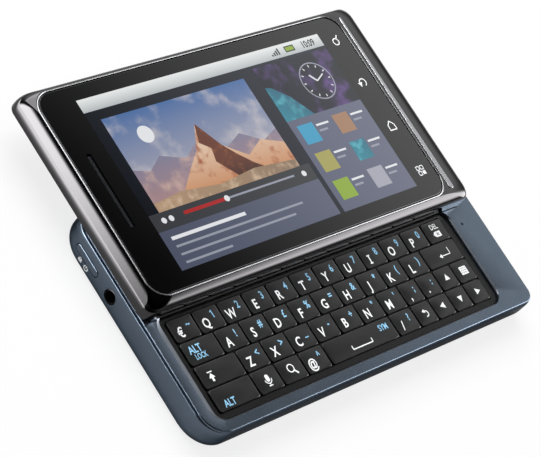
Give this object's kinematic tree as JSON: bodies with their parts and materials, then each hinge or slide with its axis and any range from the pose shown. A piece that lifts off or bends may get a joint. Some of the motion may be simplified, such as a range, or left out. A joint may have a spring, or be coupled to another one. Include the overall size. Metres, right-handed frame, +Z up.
{
  "type": "slider phone",
  "caption": "Flat slider phone, open: a display half with a touch screen slides sideways over a base with a full letter keyboard, side buttons, a camera and a slide-off back cover.",
  "frame": {"origin": "middle of the base's flat back, on the surface that the phone lies on", "axes": "+X along the phone towards the end with the chin, +Y towards the side that the display opens to, +Z up out of the screen"},
  "size_m": [0.1168, 0.0884, 0.0137],
  "materials": {
    "slate_plastic": "satin painted moulded plastic",
    "cover_plastic": "fine soft-touch moulded plastic",
    "button_plastic": "satin moulded plastic",
    "gunmetal": "polished dark nickel plating",
    "black_glass": "polished, black border printed behind",
    "screen": "lit display panel",
    "key_black": "hard coated moulded keys",
    "black_rubber": "moulded silicone",
    "camera_black": "moulded lens holder",
    "slide_steel": "pressed stainless steel",
    "board": "solder-masked board with its soldered parts",
    "battery_case": "wrapped cell with a moulded end"
  },
  "bodies": {
    "base": {"rear_housing": "slate_plastic", "keyboard_deck": "slate_plastic", "keymat": "black_rubber", "main_board": "board", "battery": "battery_case", "camera_module": "camera_black", "slide_carriage": "slide_steel"},
    "display": {"display_frame": "gunmetal", "touch_glass": "black_glass", "lcd_panel": "screen", "slide_plate": "slide_steel"},
    "battery_cover": {"battery_cover": "cover_plastic"},
    "power_button": {"power_button": "button_plastic"},
    "volume_rocker": {"volume_rocker": "button_plastic"},
    "camera_button": {"camera_button": "button_plastic"},
    "key_euro": {"key_euro": "key_black"},
    "key_q": {"key_q": "key_black"},
    "key_w": {"key_w": "key_black"},
    "key_e": {"key_e": "key_black"},
    "key_r": {"key_r": "key_black"},
    "key_t": {"key_t": "key_black"},
    "key_y": {"key_y": "key_black"},
    "key_u": {"key_u": "key_black"},
    "key_i": {"key_i": "key_black"},
    "key_o": {"key_o": "key_black"},
    "key_p": {"key_p": "key_black"},
    "key_del": {"key_del": "key_black"},
    "key_alt_lock": {"key_alt_lock": "key_black"},
    "key_a": {"key_a": "key_black"},
    "key_s": {"key_s": "key_black"},
    "key_d": {"key_d": "key_black"},
    "key_f": {"key_f": "key_black"},
    "key_g": {"key_g": "key_black"},
    "key_h": {"key_h": "key_black"},
    "key_j": {"key_j": "key_black"},
    "key_k": {"key_k": "key_black"},
    "key_l": {"key_l": "key_black"},
    "key_enter": {"key_enter": "key_black"},
    "key_shift": {"key_shift": "key_black"},
    "key_z": {"key_z": "key_black"},
    "key_x": {"key_x": "key_black"},
    "key_c": {"key_c": "key_black"},
    "key_v": {"key_v": "key_black"},
    "key_b": {"key_b": "key_black"},
    "key_n": {"key_n": "key_black"},
    "key_m": {"key_m": "key_black"},
    "key_comma": {"key_comma": "key_black"},
    "key_period": {"key_period": "key_black"},
    "key_up": {"key_up": "key_black"},
    "key_face": {"key_face": "key_black"},
    "key_alt": {"key_alt": "key_black"},
    "key_mic": {"key_mic": "key_black"},
    "key_search": {"key_search": "key_black"},
    "key_at": {"key_at": "key_black"},
    "key_space": {"key_space": "key_black"},
    "key_slash": {"key_slash": "key_black"},
    "key_back": {"key_back": "key_black"},
    "key_left": {"key_left": "key_black"},
    "key_down": {"key_down": "key_black"},
    "key_right": {"key_right": "key_black"}
  },
  "joints": [
    {"name": "display_slide", "type": "slide", "parent": "base", "child": "display", "axis": [0, 1, 0], "range_m": [-0.029, 0]},
    {"name": "battery_cover_slide", "type": "slide", "parent": "base", "child": "battery_cover", "axis": [1, 0, 0], "range_m": [0, 0.005]},
    {"name": "power_press", "type": "slide", "parent": "base", "child": "power_button", "axis": [1, 0, 0], "range_m": [0, 0.00035], "stiffness_N_per_m": 1500},
    {"name": "volume_rock", "type": "hinge", "parent": "base", "child": "volume_rocker", "pos_m": [-0.0212, 0.029, 0.0039], "axis": [0, 0, 1], "range_deg": [-1.2, 1.2], "stiffness_Nm_per_rad": 0.6},
    {"name": "camera_press", "type": "slide", "parent": "base", "child": "camera_button", "axis": [0, -1, 0], "range_m": [0, 0.00035], "stiffness_N_per_m": 1500},
    {"name": "key_euro_press", "type": "slide", "parent": "base", "child": "key_euro", "axis": [0, 0, -1], "range_m": [0, 0.00025], "stiffness_N_per_m": 300},
    {"name": "key_q_press", "type": "slide", "parent": "base", "child": "key_q", "axis": [0, 0, -1], "range_m": [0, 0.00025], "stiffness_N_per_m": 300},
    {"name": "key_w_press", "type": "slide", "parent": "base", "child": "key_w", "axis": [0, 0, -1], "range_m": [0, 0.00025], "stiffness_N_per_m": 300},
    {"name": "key_e_press", "type": "slide", "parent": "base", "child": "key_e", "axis": [0, 0, -1], "range_m": [0, 0.00025], "stiffness_N_per_m": 300},
    {"name": "key_r_press", "type": "slide", "parent": "base", "child": "key_r", "axis": [0, 0, -1], "range_m": [0, 0.00025], "stiffness_N_per_m": 300},
    {"name": "key_t_press", "type": "slide", "parent": "base", "child": "key_t", "axis": [0, 0, -1], "range_m": [0, 0.00025], "stiffness_N_per_m": 300},
    {"name": "key_y_press", "type": "slide", "parent": "base", "child": "key_y", "axis": [0, 0, -1], "range_m": [0, 0.00025], "stiffness_N_per_m": 300},
    {"name": "key_u_press", "type": "slide", "parent": "base", "child": "key_u", "axis": [0, 0, -1], "range_m": [0, 0.00025], "stiffness_N_per_m": 300},
    {"name": "key_i_press", "type": "slide", "parent": "base", "child": "key_i", "axis": [0, 0, -1], "range_m": [0, 0.00025], "stiffness_N_per_m": 300},
    {"name": "key_o_press", "type": "slide", "parent": "base", "child": "key_o", "axis": [0, 0, -1], "range_m": [0, 0.00025], "stiffness_N_per_m": 300},
    {"name": "key_p_press", "type": "slide", "parent": "base", "child": "key_p", "axis": [0, 0, -1], "range_m": [0, 0.00025], "stiffness_N_per_m": 300},
    {"name": "key_del_press", "type": "slide", "parent": "base", "child": "key_del", "axis": [0, 0, -1], "range_m": [0, 0.00025], "stiffness_N_per_m": 300},
    {"name": "key_alt_lock_press", "type": "slide", "parent": "base", "child": "key_alt_lock", "axis": [0, 0, -1], "range_m": [0, 0.00025], "stiffness_N_per_m": 300},
    {"name": "key_a_press", "type": "slide", "parent": "base", "child": "key_a", "axis": [0, 0, -1], "range_m": [0, 0.00025], "stiffness_N_per_m": 300},
    {"name": "key_s_press", "type": "slide", "parent": "base", "child": "key_s", "axis": [0, 0, -1], "range_m": [0, 0.00025], "stiffness_N_per_m": 300},
    {"name": "key_d_press", "type": "slide", "parent": "base", "child": "key_d", "axis": [0, 0, -1], "range_m": [0, 0.00025], "stiffness_N_per_m": 300},
    {"name": "key_f_press", "type": "slide", "parent": "base", "child": "key_f", "axis": [0, 0, -1], "range_m": [0, 0.00025], "stiffness_N_per_m": 300},
    {"name": "key_g_press", "type": "slide", "parent": "base", "child": "key_g", "axis": [0, 0, -1], "range_m": [0, 0.00025], "stiffness_N_per_m": 300},
    {"name": "key_h_press", "type": "slide", "parent": "base", "child": "key_h", "axis": [0, 0, -1], "range_m": [0, 0.00025], "stiffness_N_per_m": 300},
    {"name": "key_j_press", "type": "slide", "parent": "base", "child": "key_j", "axis": [0, 0, -1], "range_m": [0, 0.00025], "stiffness_N_per_m": 300},
    {"name": "key_k_press", "type": "slide", "parent": "base", "child": "key_k", "axis": [0, 0, -1], "range_m": [0, 0.00025], "stiffness_N_per_m": 300},
    {"name": "key_l_press", "type": "slide", "parent": "base", "child": "key_l", "axis": [0, 0, -1], "range_m": [0, 0.00025], "stiffness_N_per_m": 300},
    {"name": "key_enter_press", "type": "slide", "parent": "base", "child": "key_enter", "axis": [0, 0, -1], "range_m": [0, 0.00025], "stiffness_N_per_m": 300},
    {"name": "key_shift_press", "type": "slide", "parent": "base", "child": "key_shift", "axis": [0, 0, -1], "range_m": [0, 0.00025], "stiffness_N_per_m": 300},
    {"name": "key_z_press", "type": "slide", "parent": "base", "child": "key_z", "axis": [0, 0, -1], "range_m": [0, 0.00025], "stiffness_N_per_m": 300},
    {"name": "key_x_press", "type": "slide", "parent": "base", "child": "key_x", "axis": [0, 0, -1], "range_m": [0, 0.00025], "stiffness_N_per_m": 300},
    {"name": "key_c_press", "type": "slide", "parent": "base", "child": "key_c", "axis": [0, 0, -1], "range_m": [0, 0.00025], "stiffness_N_per_m": 300},
    {"name": "key_v_press", "type": "slide", "parent": "base", "child": "key_v", "axis": [0, 0, -1], "range_m": [0, 0.00025], "stiffness_N_per_m": 300},
    {"name": "key_b_press", "type": "slide", "parent": "base", "child": "key_b", "axis": [0, 0, -1], "range_m": [0, 0.00025], "stiffness_N_per_m": 300},
    {"name": "key_n_press", "type": "slide", "parent": "base", "child": "key_n", "axis": [0, 0, -1], "range_m": [0, 0.00025], "stiffness_N_per_m": 300},
    {"name": "key_m_press", "type": "slide", "parent": "base", "child": "key_m", "axis": [0, 0, -1], "range_m": [0, 0.00025], "stiffness_N_per_m": 300},
    {"name": "key_comma_press", "type": "slide", "parent": "base", "child": "key_comma", "axis": [0, 0, -1], "range_m": [0, 0.00025], "stiffness_N_per_m": 300},
    {"name": "key_period_press", "type": "slide", "parent": "base", "child": "key_period", "axis": [0, 0, -1], "range_m": [0, 0.00025], "stiffness_N_per_m": 300},
    {"name": "key_up_press", "type": "slide", "parent": "base", "child": "key_up", "axis": [0, 0, -1], "range_m": [0, 0.00025], "stiffness_N_per_m": 300},
    {"name": "key_face_press", "type": "slide", "parent": "base", "child": "key_face", "axis": [0, 0, -1], "range_m": [0, 0.00025], "stiffness_N_per_m": 300},
    {"name": "key_alt_press", "type": "slide", "parent": "base", "child": "key_alt", "axis": [0, 0, -1], "range_m": [0, 0.00025], "stiffness_N_per_m": 300},
    {"name": "key_mic_press", "type": "slide", "parent": "base", "child": "key_mic", "axis": [0, 0, -1], "range_m": [0, 0.00025], "stiffness_N_per_m": 300},
    {"name": "key_search_press", "type": "slide", "parent": "base", "child": "key_search", "axis": [0, 0, -1], "range_m": [0, 0.00025], "stiffness_N_per_m": 300},
    {"name": "key_at_press", "type": "slide", "parent": "base", "child": "key_at", "axis": [0, 0, -1], "range_m": [0, 0.00025], "stiffness_N_per_m": 300},
    {"name": "key_space_press", "type": "slide", "parent": "base", "child": "key_space", "axis": [0, 0, -1], "range_m": [0, 0.00025], "stiffness_N_per_m": 300},
    {"name": "key_slash_press", "type": "slide", "parent": "base", "child": "key_slash", "axis": [0, 0, -1], "range_m": [0, 0.00025], "stiffness_N_per_m": 300},
    {"name": "key_back_press", "type": "slide", "parent": "base", "child": "key_back", "axis": [0, 0, -1], "range_m": [0, 0.00025], "stiffness_N_per_m": 300},
    {"name": "key_left_press", "type": "slide", "parent": "base", "child": "key_left", "axis": [0, 0, -1], "range_m": [0, 0.00025], "stiffness_N_per_m": 300},
    {"name": "key_down_press", "type": "slide", "parent": "base", "child": "key_down", "axis": [0, 0, -1], "range_m": [0, 0.00025], "stiffness_N_per_m": 300},
    {"name": "key_right_press", "type": "slide", "parent": "base", "child": "key_right", "axis": [0, 0, -1], "range_m": [0, 0.00025], "stiffness_N_per_m": 300}
  ]
}
